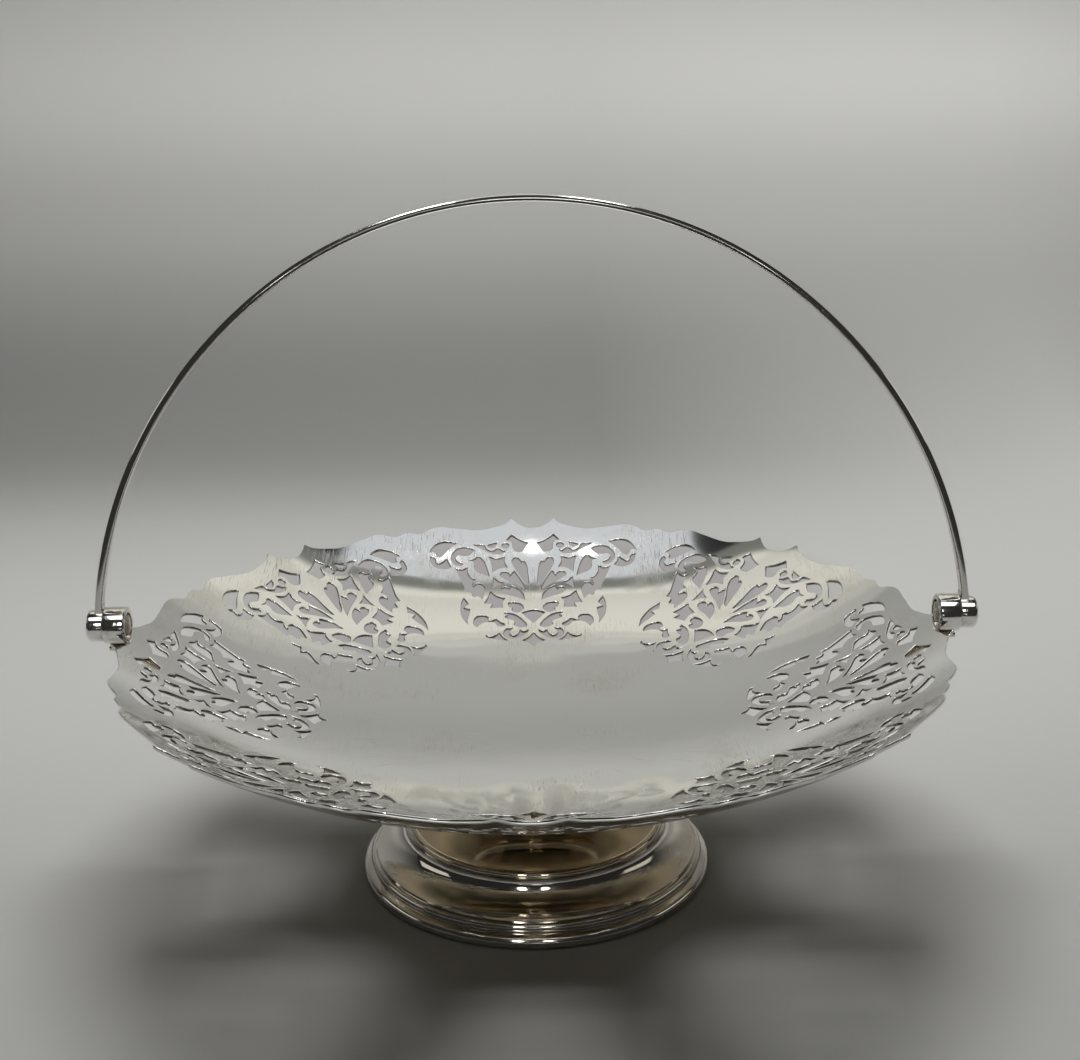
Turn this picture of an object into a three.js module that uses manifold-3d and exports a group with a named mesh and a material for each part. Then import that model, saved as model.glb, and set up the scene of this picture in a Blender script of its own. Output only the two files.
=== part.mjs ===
// A swing-handled fruit basket in silver-plated sheet metal: a pierced round dish with a wavy
// rim, a spun foot, and a bow handle that turns in two barrel hinges on the rim.
// Lengths are millimetres and +Z is up. The origin is on the table under the middle of the
// foot. The hinge pins lie along X, and -Y is the side that faces the viewer.

import * as THREE from 'three';
import { mergeVertices } from 'three/addons/utils/BufferGeometryUtils.js';
import Module from 'manifold-3d';

const wasm = await Module();
wasm.setup();

// Driving sizes of the dish: a shallow well, and a wall that grows steeper up to the rim. The
// well's height is that of its middle, and its slope is the one at the well's edge.
const rimRadius = 137;
const rimSlope = 0.74;
const wellRadius = 75.2;
const wellSlope = 0.212;
const wellHeight = 46.95;
const dishSheet = 1.2;
const panelCount = 8;

// Driving sizes of the wavy rim: reach beyond the rim radius, and degrees from a panel's middle
const valleyReach = -0.9;
const cuspReach = 3.2;
const cuspAngle = 3.7;
const dipReach = -1.1;
const dipAngle = 9.2;
const crestReach = 1.5;
const crestAngle = 16.9;
const notchReach = -0.6;
const notchAngle = 20.1;
const bumpReach = 0.6;

// Driving sizes of the foot
const baseRadius = 60.5;
const baseBead = 2.3;
const stepBead = 1.5;
const stepInset = 2;
const baseWireWidth = 6;
const shoulderRadius = 43;
const shoulderHeight = 17.1;
const shoulderBead = 1.4;
const waistRadius = 22.3;
const neckCoveRise = 9.5;
const neckFlare = 3;
const footSheet = 1;

// Driving sizes of the hinges: the joint between the barrels lies out from the rim circle, and
// the pin above it
const hingeReach = 6.5;
const hingeRise = 5.362;
const lugLength = 7.3;
const lugRadius = 6.3;
const lugChamfer = 0.8;
const knuckleLength = 5.5;
const knuckleRadius = 5.35;
const knuckleRounding = 1.2;
const knuckleEndWall = 1.2;
const pinRadius = 2;
const pinHeadRadius = 3.6;
const pinHeadThickness = 0.9;
const headMargin = 0.7;
const bracketWidth = 6;
const bracketThickness = 1.6;
const bracketGrip = 12;
const bracketSetback = 1;

// Driving sizes of the handle bow
const bowInset = 4.7;
const bowThickness = 2.3;
const bowWidthAtHinge = 4.2;
const bowWidthAtTop = 6;
const bowSoftEdge = 0.5;
const bowLegInset = 0.95;
const legArcAngle = 53;

// Clearances
const jointGap = 0.3;
const turningGap = 0.3;
const cutMargin = 2;
const straightWithin = 0.0005;

// Facet counts
const dishFacets = 40;
const wellRings = 3;
const wallRings = 4;
const footFacets = 40;
const barrelFacets = 24;
const bowSteps = 48;

// Sizes that follow from the driving sizes
const wallReach = rimRadius - wellRadius;
const wallBend = (rimSlope - wellSlope) / wallReach;
const wellEdgeHeight = wellHeight + wellSlope * wellRadius / 2;
const rimHeight = wellEdgeHeight + (wellSlope + rimSlope) * wallReach / 2;
const wallLength = lengthUpTo(rimSlope) - lengthUpTo(wellSlope);
const hingeSplit = rimRadius + hingeReach;
const hingeHeight = rimHeight + hingeRise;
const bowRadius = hingeSplit - bowInset;
const lugOuterFace = hingeSplit - jointGap / 2;
const lugInnerFace = lugOuterFace - lugLength;
const knuckleInnerFace = hingeSplit + jointGap / 2;
const knuckleOuterFace = knuckleInnerFace + knuckleLength;
const boreRadius = pinRadius + turningGap;

// Openings of one half panel, as millimetres across from the panel's middle line and down the
// wall from the rim circle. They are drawn for a rim and a wall of the drawn sizes, and follow
// the real ones. The smallest openings of the pattern aren't cut in this solid.
const drawnRimRadius = 137;
const drawnWallLength = 69;
const sideOpenings = {
  kite: [[1.9, 9.7], [8.8, 4.9], [10.9, 7.9], [8.2, 12.9], [4.4, 13.9]],
  swallow: [[11.6, 13.9], [18.3, 12.5], [24.5, 9.7], [19.5, 13.6], [14, 15.1]],
  curtain: [[11.8, 16.9], [18.4, 16.4], [16.7, 25.2], [13.5, 23], [10.5, 23]],
  innerPetal: [[1.7, 33.5], [3.4, 20], [6.6, 17.7], [8.6, 19.6], [5, 28.5]],
  middlePetal: [[3.2, 36.3], [7.8, 25.5], [11.7, 25.4], [13.4, 27.3], [8, 32]],
  outerPetal: [[3.4, 42.2], [6.4, 35.4], [11.5, 34.4], [13, 36.4], [7.5, 40]],
  star: [[17.5, 36.4], [11.6, 41.1], [12.4, 46.5], [17.4, 46.2], [16.5, 43.8], [19.8, 43.1]],
  pear: [[23, 16.1], [19.6, 21.5], [18.2, 27.5], [23, 24.6], [24.6, 20]],
  scrollEye: [
    [24.6, 12.4], [29.8, 10.4], [34.2, 14.5], [32.9, 19], [29.6, 20], [32.4, 15.5], [27.3, 14.9],
  ],
  earCrown: [[32.5, 7.9], [38, 6.3], [43.4, 10.8], [39.2, 14.3], [35.6, 10.6]],
  earLobe: [[36.2, 15.8], [34.2, 20.5], [40.4, 20], [43.4, 13.6], [39.4, 18]],
  boot: [
    [27.4, 21.5], [32.4, 21.4], [28.1, 35], [24.6, 38.6],
    [20.9, 40.4], [20.2, 33], [25, 31.5], [24, 28.8],
  ],
  sickle: [[28.5, 39.1], [26, 46.1], [26.7, 54.6], [29.5, 46]],
  leaf: [[2.9, 59], [6, 52.8], [11.5, 49.6], [10, 54], [6.8, 59]],
  bird: [
    [11.5, 57.5], [15.2, 53.7], [18.1, 54.3], [20.4, 50.5],
    [24, 53.6], [22.9, 57.3], [20.2, 55.2], [13.5, 58.3],
  ],
  cup: [[1.8, 61.3], [5.4, 62.2], [7.8, 65.3], [10.2, 60.4], [11.9, 63.5], [8.5, 67.6], [4.4, 66]],
};
const middleOpenings = {
  fan: [[0, 48.6], [4.6, 50.3], [0, 57], [-4.6, 50.3]],
  spade: [[0, 63.4], [4.5, 69.3], [0, 73.3], [-4.5, 69.3]],
};

// Height of the dish's upper side at a radius: one parabola in the well, another on the wall
function upperHeight(radius) {
  if (radius < wellRadius) return wellHeight + wellSlope * radius * radius / (2 * wellRadius);
  const outward = radius - wellRadius;
  return wellEdgeHeight + (wellSlope + wallBend * outward / 2) * outward;
}

function upperSlope(radius) {
  if (radius < wellRadius) return wellSlope * radius / wellRadius;
  return wellSlope + wallBend * (radius - wellRadius);
}

// A point that lies a given distance above the dish's upper side, square to the sheet
function abovePoint(radius, distance) {
  const slope = upperSlope(radius);
  const stretch = Math.hypot(1, slope);
  return new THREE.Vector2(radius - slope / stretch * distance, upperHeight(radius) + distance / stretch);
}

// Length along the wall's parabola from where it would lie level to where it has a slope
function lengthUpTo(slope) {
  return (slope * Math.hypot(1, slope) + Math.asinh(slope)) / (2 * wallBend);
}

// Radius at a distance down the dish from the rim circle, followed in short straight strides
function radiusDownWall(distance) {
  const strides = 40;
  const stride = distance / strides;
  let radius = rimRadius;
  for (let taken = 0; taken < strides; taken += 1) {
    radius -= stride / Math.hypot(1, upperSlope(radius - stride / 2));
  }
  return radius;
}

// Points of an arc of an ellipse, with angles in degrees
function arcPoints(centreX, centreY, radiusX, radiusY, startDegrees, endDegrees, steps) {
  const points = [];
  for (let step = 0; step <= steps; step += 1) {
    const angle = THREE.MathUtils.degToRad(THREE.MathUtils.lerp(startDegrees, endDegrees, step / steps));
    points.push(new THREE.Vector2(centreX + radiusX * Math.cos(angle), centreY + radiusY * Math.sin(angle)));
  }
  return points;
}

function point(x, y) {
  return new THREE.Vector2(x, y);
}

// A closed mesh as a solid, turned right side out if its faces point inward
function solidOf(geometry) {
  const bare = geometry.clone();
  bare.deleteAttribute('normal');
  bare.deleteAttribute('uv');
  const merged = mergeVertices(bare, 1e-4);
  const vertProperties = Float32Array.from(merged.attributes.position.array);
  const triVerts = dropEmptyTriangles(merged.index.array);
  if (signedVolume(vertProperties, triVerts) < 0) triVerts.reverse();
  return new wasm.Manifold(new wasm.Mesh({ numProp: 3, vertProperties, triVerts }));
}

// Triangles that merging has folded to a line, as at a lathe's poles, are left out
function dropEmptyTriangles(index) {
  const kept = [];
  for (let i = 0; i < index.length; i += 3) {
    const [a, b, c] = [index[i], index[i + 1], index[i + 2]];
    if (a !== b && b !== c && c !== a) kept.push(a, b, c);
  }
  return Uint32Array.from(kept);
}

function signedVolume(positions, index) {
  const corner = (i) => new THREE.Vector3().fromArray(positions, 3 * index[i]);
  let volume = 0;
  for (let i = 0; i < index.length; i += 3) {
    volume += corner(i).dot(corner(i + 1).cross(corner(i + 2))) / 6;
  }
  return volume;
}

function geometryOf(solid) {
  const mesh = solid.getMesh();
  const geometry = new THREE.BufferGeometry();
  geometry.setAttribute('position', new THREE.BufferAttribute(mesh.vertProperties, 3));
  geometry.setIndex(new THREE.BufferAttribute(mesh.triVerts, 1));
  return geometry;
}

// A profile of radius and height turned about the upright axis
function turnedUpright(profile, facets) {
  return new THREE.LatheGeometry(profile, facets).rotateX(Math.PI / 2);
}

// A profile of radius and distance from the middle turned about the hinge axis, on the +X side
function turnedOnHinge(profile) {
  const lathe = new THREE.LatheGeometry(profile, barrelFacets);
  return lathe.rotateZ(-Math.PI / 2).translate(0, 0, hingeHeight);
}

// Plan outline of the wavy rim
function rimOutline() {
  const halfPanel = 180 / panelCount;
  const hollow = 0.45;
  const wave = [
    [0, valleyReach],
    [cuspAngle * hollow, (cuspReach + 2 * valleyReach) / 3],
    [cuspAngle, cuspReach],
    [cuspAngle + (dipAngle - cuspAngle) * hollow, (cuspReach + 2 * dipReach) / 3],
    [dipAngle, dipReach],
    [crestAngle, crestReach],
    [notchAngle, notchReach],
    [halfPanel, bumpReach],
  ];
  const mirrored = wave.slice(1, -1).reverse().map(([angle, reach]) => [2 * halfPanel - angle, reach]);
  const outline = [];
  for (let panel = 0; panel < panelCount; panel += 1) {
    for (const [angle, reach] of [...wave, ...mirrored]) {
      const turned = THREE.MathUtils.degToRad(angle + 2 * halfPanel * panel);
      const radius = rimRadius + reach;
      outline.push(point(radius * Math.cos(turned), radius * Math.sin(turned)));
    }
  }
  return outline;
}

// The raised sheet before piercing, cut off round the wavy outline
function dishBlank() {
  const blankRadius = rimRadius + cuspReach + cutMargin;
  const radii = [];
  for (let ring = 0; ring < wellRings; ring += 1) radii.push(wellRadius * ring / wellRings);
  for (let ring = 0; ring <= wallRings; ring += 1) {
    radii.push(THREE.MathUtils.lerp(wellRadius, blankRadius, ring / wallRings));
  }
  const upper = radii.map((radius) => abovePoint(radius, 0));
  const lower = radii.map((radius) => abovePoint(radius, -dishSheet)).reverse();
  const blank = solidOf(turnedUpright([...upper, ...lower], dishFacets));
  const tallEnough = rimHeight + hingeHeight;
  const wavyEdge = new THREE.Shape(rimOutline());
  const trim = new THREE.ExtrudeGeometry(wavyEdge, { depth: tallEnough, bevelEnabled: false });
  return blank.intersect(solidOf(trim));
}

// A straight punch for one opening, square to the sheet at the opening's middle
function openingPunch(outline, side, panelMiddle) {
  const places = outline.map(([across, down]) => wallPlace(side * across, down, panelMiddle));
  const middle = new THREE.Vector3();
  for (const place of places) middle.addScaledVector(place, 1 / places.length);
  const radius = Math.hypot(middle.x, middle.y);
  const outward = new THREE.Vector3(middle.x / radius, middle.y / radius, 0);
  const normal = new THREE.Vector3(0, 0, 1).addScaledVector(outward, -upperSlope(radius)).normalize();
  const acrossAxis = new THREE.Vector3().crossVectors(normal, outward).normalize();
  const downAxis = new THREE.Vector3().crossVectors(normal, acrossAxis);
  const toSheet = new THREE.Matrix4().makeBasis(acrossAxis, downAxis, normal).setPosition(middle);
  const toPunch = toSheet.clone().invert();
  const flat = places.map((place) => place.applyMatrix4(toPunch)).map((place) => point(place.x, place.y));
  const depth = dishSheet + 2 * cutMargin;
  const punch = new THREE.ExtrudeGeometry(new THREE.Shape(flat), { depth, bevelEnabled: false });
  return solidOf(punch.translate(0, 0, -dishSheet - cutMargin).applyMatrix4(toSheet));
}

// A place on the upper side of the wall, across from a panel's middle and down from the rim circle
function wallPlace(across, down, panelMiddle) {
  const radius = radiusDownWall(down * wallLength / drawnWallLength);
  const angle = panelMiddle + across * rimRadius / drawnRimRadius / radius;
  return new THREE.Vector3(radius * Math.sin(angle), radius * Math.cos(angle), upperHeight(radius));
}

function piercedDish() {
  let dish = dishBlank();
  for (let panel = 0; panel < panelCount; panel += 1) {
    const panelMiddle = 2 * Math.PI * panel / panelCount;
    const punches = [];
    for (const outline of Object.values(sideOpenings)) {
      punches.push(openingPunch(outline, 1, panelMiddle), openingPunch(outline, -1, panelMiddle));
    }
    for (const outline of Object.values(middleOpenings)) {
      punches.push(openingPunch(outline, 1, panelMiddle));
    }
    dish = dish.subtract(punches.reduce((all, punch) => all.add(punch)));
  }
  return straightened(dish.subtract(lugSeat(1)).subtract(lugSeat(-1)));
}

// The same solid without the needless points that the cuts leave along its straight edges
function straightened(solid) {
  return solid.asOriginal().simplify(straightWithin);
}

// The round seat filed in the rim for a hinge barrel
function lugSeat(side) {
  const radius = lugRadius + jointGap;
  const length = lugLength + 2 * jointGap;
  const seat = new THREE.CylinderGeometry(radius, radius, length, barrelFacets);
  seat.rotateZ(Math.PI / 2).translate(side * (lugInnerFace + lugOuterFace) / 2, 0, hingeHeight);
  return solidOf(seat);
}

// The stepped moulding that the foot stands on: a big bead below and a small one set in above
function baseWire() {
  const beadRadius = baseRadius - baseBead;
  const stepRadius = beadRadius - stepInset;
  const stepHeight = baseWireTop() - stepBead;
  const innerRadius = baseRadius - baseWireWidth;
  const profile = [
    point(innerRadius, 0),
    ...arcPoints(beadRadius, baseBead, baseBead, baseBead, -90, 50, 6),
    ...arcPoints(stepRadius, stepHeight, stepBead, stepBead, -40, 90, 5),
    point(innerRadius, baseWireTop()),
    point(innerRadius, 0),
  ];
  return turnedUpright(profile, footFacets);
}

function baseWireTop() {
  return 2 * baseBead + 2 * stepBead;
}

// The spun shell between the base moulding and the collar, hollow on its outside like a cove
function footShell() {
  const bottom = baseWireTop() + jointGap;
  const top = shoulderHeight - shoulderBead - jointGap;
  const flangeRadius = baseRadius - baseBead - stepInset - jointGap;
  const coveStart = flangeRadius - footSheet;
  const coveWidth = coveStart - shoulderRadius - footSheet;
  const coveHeight = top - bottom - footSheet;
  const profile = [
    point(flangeRadius, bottom),
    point(flangeRadius, bottom + footSheet),
    ...arcPoints(coveStart, top, coveWidth, coveHeight, -90, -180, 7),
    ...arcPoints(coveStart, top, coveWidth + footSheet, coveHeight + footSheet, -180, -90, 7),
    point(flangeRadius, bottom),
  ];
  return turnedUpright(profile, footFacets);
}

// The spun collar: a bead at the shoulder, a cove up to the round waist, and a flange at the top
function footCollar() {
  const bottom = shoulderHeight - shoulderBead;
  const ledgeRise = 0.6;
  const ledge = shoulderHeight + ledgeRise * shoulderBead;
  const coveEnd = shoulderRadius - shoulderBead;
  const coveReach = coveEnd - waistRadius;
  const coveMiddle = ledge + neckCoveRise;
  const flareRadius = waistRadius + neckFlare;
  const top = abovePoint(flareRadius, -dishSheet - jointGap).y;
  const beadEnd = 180 - THREE.MathUtils.radToDeg(Math.asin(ledgeRise));
  const innerFlare = neckFlare + footSheet;
  const innerBeadRadius = shoulderRadius - footSheet;
  const profile = [
    point(innerBeadRadius, bottom),
    ...arcPoints(shoulderRadius, shoulderHeight, shoulderBead, shoulderBead, -90, beadEnd, 6),
    ...arcPoints(coveEnd, coveMiddle, coveReach, neckCoveRise, -90, -180, 6),
    ...arcPoints(flareRadius, top - footSheet - neckFlare, neckFlare, neckFlare, 180, 90, 4),
    point(flareRadius + footSheet, top - footSheet),
    point(flareRadius + footSheet, top),
    ...arcPoints(flareRadius, top - innerFlare, innerFlare, innerFlare, 90, 180, 3),
    ...arcPoints(coveEnd, coveMiddle, coveReach + footSheet, neckCoveRise + footSheet, -180, -90, 4),
    point(innerBeadRadius, ledge - footSheet),
    point(innerBeadRadius, bottom),
  ];
  return turnedUpright(profile, footFacets);
}

// The barrel on the dish, with a recess in its inner end for the head of the pin
function hingeLug() {
  const recessRadius = pinHeadRadius + headMargin;
  const recessFloor = lugInnerFace + pinHeadThickness + jointGap;
  return turnedOnHinge([
    point(boreRadius, lugOuterFace),
    point(boreRadius, recessFloor),
    point(recessRadius, recessFloor),
    point(recessRadius, lugInnerFace),
    point(lugRadius - lugChamfer, lugInnerFace),
    point(lugRadius, lugInnerFace + lugChamfer),
    point(lugRadius, lugOuterFace),
    point(boreRadius, lugOuterFace),
  ]);
}

// The strap under the rim that carries the barrel: it follows the sheet, then lies level
function lugBracket() {
  const barrelBottom = hingeHeight - lugRadius - jointGap;
  const gripStart = lugInnerFace - bracketGrip;
  const underRim = (radius) => abovePoint(radius, -dishSheet - jointGap);
  const steps = 4;
  const upper = [];
  for (let step = 0; step <= steps; step += 1) {
    upper.push(underRim(THREE.MathUtils.lerp(gripStart, lugInnerFace, step / steps)));
  }
  const last = upper.at(-1);
  const levelStart = last.x + (barrelBottom - last.y) / upperSlope(last.x);
  upper.push(point(levelStart, barrelBottom), point(lugOuterFace - bracketSetback, barrelBottom));
  const lower = upper.map((place) => point(place.x, place.y - bracketThickness)).reverse();
  const side = new THREE.Shape([...upper, ...lower]);
  const strap = new THREE.ExtrudeGeometry(side, { depth: bracketWidth, bevelEnabled: false });
  return strap.translate(0, 0, -bracketWidth / 2).rotateX(Math.PI / 2);
}

// The barrel on the handle's end, with a blind bore for the pin and a rounded outer end
function handleKnuckle() {
  const boreEnd = knuckleOuterFace - knuckleEndWall;
  const rounding = knuckleRounding;
  return turnedOnHinge([
    point(0, boreEnd),
    point(boreRadius, boreEnd),
    point(boreRadius, knuckleInnerFace),
    point(knuckleRadius, knuckleInnerFace),
    ...arcPoints(knuckleRadius - rounding, knuckleOuterFace - rounding, rounding, rounding, 0, 90, 4),
    point(0, knuckleOuterFace),
  ]);
}

function hingePin() {
  const headBack = lugInnerFace + pinHeadThickness;
  const pinEnd = knuckleOuterFace - knuckleEndWall - jointGap;
  return turnedOnHinge([
    point(0, lugInnerFace),
    point(pinHeadRadius, lugInnerFace),
    point(pinHeadRadius, headBack),
    point(pinRadius, headBack),
    point(pinRadius, pinEnd),
    point(0, pinEnd),
  ]);
}

// Middle line of the bow, seen from the front: a round arch whose legs open out to the hinges
class BowLine extends THREE.Curve {
  constructor() {
    super();
    this.archEnd = THREE.MathUtils.degToRad(legArcAngle);
    const footX = hingeSplit + (jointGap + knuckleLength) / 2 - bowLegInset;
    const footRise = knuckleRadius - bowThickness / 2;
    const spread = footX - bowRadius * Math.cos(this.archEnd);
    const drop = bowRadius * Math.sin(this.archEnd) - footRise;
    this.legEnd = 2 * Math.atan(spread / drop) - this.archEnd;
    this.legRadius = drop / (Math.sin(this.archEnd) - Math.sin(this.legEnd));
  }

  getPoint(t, target = new THREE.Vector3()) {
    const angle = Math.PI - THREE.MathUtils.lerp(this.legEnd, Math.PI - this.legEnd, t);
    const fromHinge = Math.min(angle, Math.PI - angle);
    const side = angle > Math.PI / 2 ? -1 : 1;
    const onLeg = fromHinge < this.archEnd;
    const radius = onLeg ? this.legRadius : bowRadius;
    const shift = bowRadius - radius;
    const x = shift * Math.cos(this.archEnd) + radius * Math.cos(fromHinge);
    const rise = shift * Math.sin(this.archEnd) + radius * Math.sin(fromHinge);
    return target.set(side * x, 0, hingeHeight + rise);
  }
}

function bowSection() {
  const halfWidth = bowWidthAtTop / 2;
  const halfThickness = bowThickness / 2;
  const soft = bowSoftEdge;
  return new THREE.Shape([
    point(-halfWidth + soft, -halfThickness),
    point(halfWidth - soft, -halfThickness),
    point(halfWidth, -halfThickness + soft),
    point(halfWidth, halfThickness - soft),
    point(halfWidth - soft, halfThickness),
    point(-halfWidth + soft, halfThickness),
    point(-halfWidth, halfThickness - soft),
    point(-halfWidth, -halfThickness + soft),
  ]);
}

// The flat bow, broad at the top and narrow at the hinges, hollowed at its feet for the barrels
function handleBow() {
  const strip = new THREE.ExtrudeGeometry(bowSection(), { steps: bowSteps, extrudePath: new BowLine() });
  const position = strip.attributes.position;
  for (let i = 0; i < position.count; i += 1) {
    const climb = (position.getZ(i) - hingeHeight) / bowRadius;
    const width = THREE.MathUtils.lerp(bowWidthAtHinge, bowWidthAtTop, climb);
    position.setY(i, position.getY(i) * width / bowWidthAtTop);
  }
  const seatRadius = knuckleRadius + jointGap;
  const seatLength = 2 * (knuckleOuterFace + cutMargin);
  const seat = new THREE.CylinderGeometry(seatRadius, seatRadius, seatLength, barrelFacets);
  seat.rotateZ(Math.PI / 2).translate(0, 0, hingeHeight);
  return geometryOf(solidOf(strip).subtract(solidOf(seat)));
}

const silver = { color: 0xb9b6ae, roughness: 0.16, metalness: 1 };
const wornSilver = { color: 0xa9a294, roughness: 0.24, metalness: 1 };

const basket = new THREE.Group();

function addPiece(name, geometry, finish) {
  const mesh = new THREE.Mesh(geometry, new THREE.MeshStandardMaterial(finish));
  mesh.name = name;
  basket.add(mesh);
}

// A hinge part made on the +X side, and its like on the -X side, turned half a turn
function addPair(name, makeGeometry, finish) {
  addPiece(`${name}_right`, geometryOf(solidOf(makeGeometry())), finish);
  addPiece(`${name}_left`, geometryOf(solidOf(makeGeometry().rotateZ(Math.PI))), finish);
}

addPiece('dish', geometryOf(piercedDish()), silver);
addPiece('foot_base_wire', geometryOf(solidOf(baseWire())), wornSilver);
addPiece('foot_shell', geometryOf(solidOf(footShell())), wornSilver);
addPiece('foot_collar', geometryOf(solidOf(footCollar())), wornSilver);
addPair('hinge_lug', hingeLug, silver);
addPair('lug_bracket', lugBracket, wornSilver);
addPair('handle_knuckle', handleKnuckle, silver);
addPair('hinge_pin', hingePin, wornSilver);
addPiece('handle_bow', handleBow(), silver);

export default basket;
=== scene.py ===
# %% [markdown]
# # A pierced basket with a swing handle, in silver plate
# The frame is the measured model: one node for each solid, at its real size, in metres, with +Z up.
# Its solids are faceted, so every piece is made again here with smooth curves and soft edges, in
# the same place. The code cells follow the order in which a silversmith would make the basket.

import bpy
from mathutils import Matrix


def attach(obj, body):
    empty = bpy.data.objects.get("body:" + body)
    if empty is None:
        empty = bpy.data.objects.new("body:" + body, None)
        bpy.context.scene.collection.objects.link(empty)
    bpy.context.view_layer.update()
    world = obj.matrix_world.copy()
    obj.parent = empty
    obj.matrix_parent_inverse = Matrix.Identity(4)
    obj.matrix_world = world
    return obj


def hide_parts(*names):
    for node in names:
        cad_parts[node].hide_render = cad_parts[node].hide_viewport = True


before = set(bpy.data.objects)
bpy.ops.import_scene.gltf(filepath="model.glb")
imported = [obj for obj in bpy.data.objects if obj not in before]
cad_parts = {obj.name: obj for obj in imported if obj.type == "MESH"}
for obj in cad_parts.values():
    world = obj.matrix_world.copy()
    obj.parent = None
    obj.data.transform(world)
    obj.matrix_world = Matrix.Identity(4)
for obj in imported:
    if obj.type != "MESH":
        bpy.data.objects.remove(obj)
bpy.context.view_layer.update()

import math

import bmesh
import bpy
from mathutils import Matrix, Vector

# %% [markdown]
# ## Sizes
# A maker works in millimetres, and Blender in metres, so sizes are written in millimetres and
# multiplied by MM. The rim circle, the well and the slopes of the wall fix the raised form of
# the dish: a shallow well, nearly level, then a wall that grows steeper up to the rim.

# %% Sizes of the dish
MM = 0.001
RIM_RADIUS = 137.0
WELL_RADIUS = 75.2
WELL_HEIGHT = 46.95
WELL_SLOPE = 0.212
RIM_SLOPE = 0.74
SHEET = 1.2
PANELS = 8
WALL_BEND = (RIM_SLOPE - WELL_SLOPE) / (RIM_RADIUS - WELL_RADIUS)


def dish_height(radius):
    in_well = min(radius, WELL_RADIUS)
    outward = max(radius - WELL_RADIUS, 0)
    well_rise = WELL_SLOPE * in_well**2 / (2 * WELL_RADIUS)
    return WELL_HEIGHT + well_rise + (WELL_SLOPE + WALL_BEND * outward / 2) * outward


def dish_slope(radius):
    if radius < WELL_RADIUS:
        return WELL_SLOPE * radius / WELL_RADIUS
    return WELL_SLOPE + WALL_BEND * (radius - WELL_RADIUS)


def under_dish(radius, gap=0.0):
    stretch = math.hypot(1, dish_slope(radius))
    drop = SHEET + gap
    return radius + dish_slope(radius) / stretch * drop, dish_height(radius) - drop / stretch


print("rim height, mm:", round(dish_height(RIM_RADIUS), 2))

# %% [markdown]
# ## Materials come first
# Silver plate is a metal with almost no colour of its own: what it shows is the room. What makes
# it look real is small: hair-fine scratches from years of cloths, a slow ripple left by the
# hammer and the buff, and a brown film where a cloth doesn't reach. Each of these is one node
# group, built once, and each material uses it with values of its own.

# %% A helper that starts a node group
def start_group(name, inputs, outputs):
    group = bpy.data.node_groups.new(name, "ShaderNodeTree")
    for label, value in inputs:
        kind = "NodeSocketVector" if value is None else "NodeSocketFloat"
        socket = group.interface.new_socket(label, in_out="INPUT", socket_type=kind)
        if value is not None:
            socket.default_value = value
    for label, kind in outputs:
        group.interface.new_socket(label, in_out="OUTPUT", socket_type=kind)
    return group, group.nodes.new("NodeGroupInput"), group.nodes.new("NodeGroupOutput")


def math_node(tree, operation, first, second=None, clamp=False):
    node = tree.nodes.new("ShaderNodeMath")
    node.operation = operation
    node.use_clamp = clamp
    for socket, value in zip(node.inputs, (first, second)):
        if isinstance(value, (int, float)):
            socket.default_value = value
        elif value is not None:
            tree.links.new(value, socket)
    return node.outputs[0]


print("helpers ready")

# %% [markdown]
# ## Hair scratches
# A scratch is long and thin. Noise that is stretched some twenty times along one line gives
# streaks, and only the thin crests of the streaks are kept. Four layers in four directions cross
# each other, as the strokes of a cloth do. A slow second noise keeps them in patches.

# %% The hair scratches group
# Each layer of streaks has its turn, in radians, and its stretch.
STREAK_LAYERS = ((0.5, 26.0), (2.1, 18.0), (-0.8, 34.0), (1.3, 22.0))
STREAK_SCALE, STREAK_CREST, STREAK_GAIN = 60.0, 0.66, 9.0
PATCH_SCALE, PATCH_GAIN = 28.0, 5.0


def build_scratches():
    group, entry, leave = start_group(
        "hair scratches",
        [("Vector", None), ("Density", 1.0), ("Share", 0.5)],
        [("Mask", "NodeSocketFloat")],
    )
    total = None
    for turn, stretch in STREAK_LAYERS:
        place = group.nodes.new("ShaderNodeMapping")
        place.inputs["Rotation"].default_value = (0.31 * turn, 0.17, turn)
        place.inputs["Scale"].default_value = (stretch, 1.0, 1.0)
        group.links.new(entry.outputs["Vector"], place.inputs["Vector"])
        streak = group.nodes.new("ShaderNodeTexNoise")
        streak.inputs["Detail"].default_value = 1.0
        scale = math_node(group, "MULTIPLY", entry.outputs["Density"], STREAK_SCALE)
        group.links.new(scale, streak.inputs["Scale"])
        group.links.new(place.outputs["Vector"], streak.inputs["Vector"])
        crest = math_node(group, "SUBTRACT", streak.outputs["Fac"], STREAK_CREST)
        thin = math_node(group, "MULTIPLY", crest, STREAK_GAIN, clamp=True)
        total = thin if total is None else math_node(group, "MAXIMUM", total, thin)
    patch = group.nodes.new("ShaderNodeTexNoise")
    patch.inputs["Scale"].default_value = PATCH_SCALE
    patch.inputs["Detail"].default_value = 2.0
    group.links.new(entry.outputs["Vector"], patch.inputs["Vector"])
    threshold = math_node(group, "SUBTRACT", 1.0, entry.outputs["Share"])
    worn = math_node(group, "SUBTRACT", patch.outputs["Fac"], threshold)
    worn = math_node(group, "MULTIPLY", worn, PATCH_GAIN, clamp=True)
    group.links.new(math_node(group, "MULTIPLY", total, worn), leave.inputs["Mask"])
    return group


scratches = build_scratches()
print("group:", scratches.name)

# %% [markdown]
# ## Hand ripple
# Raised and buffed sheet is never quite true. A very slow, shallow noise bends the reflections a
# little, so that straight things look slightly wavy in it.

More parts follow.
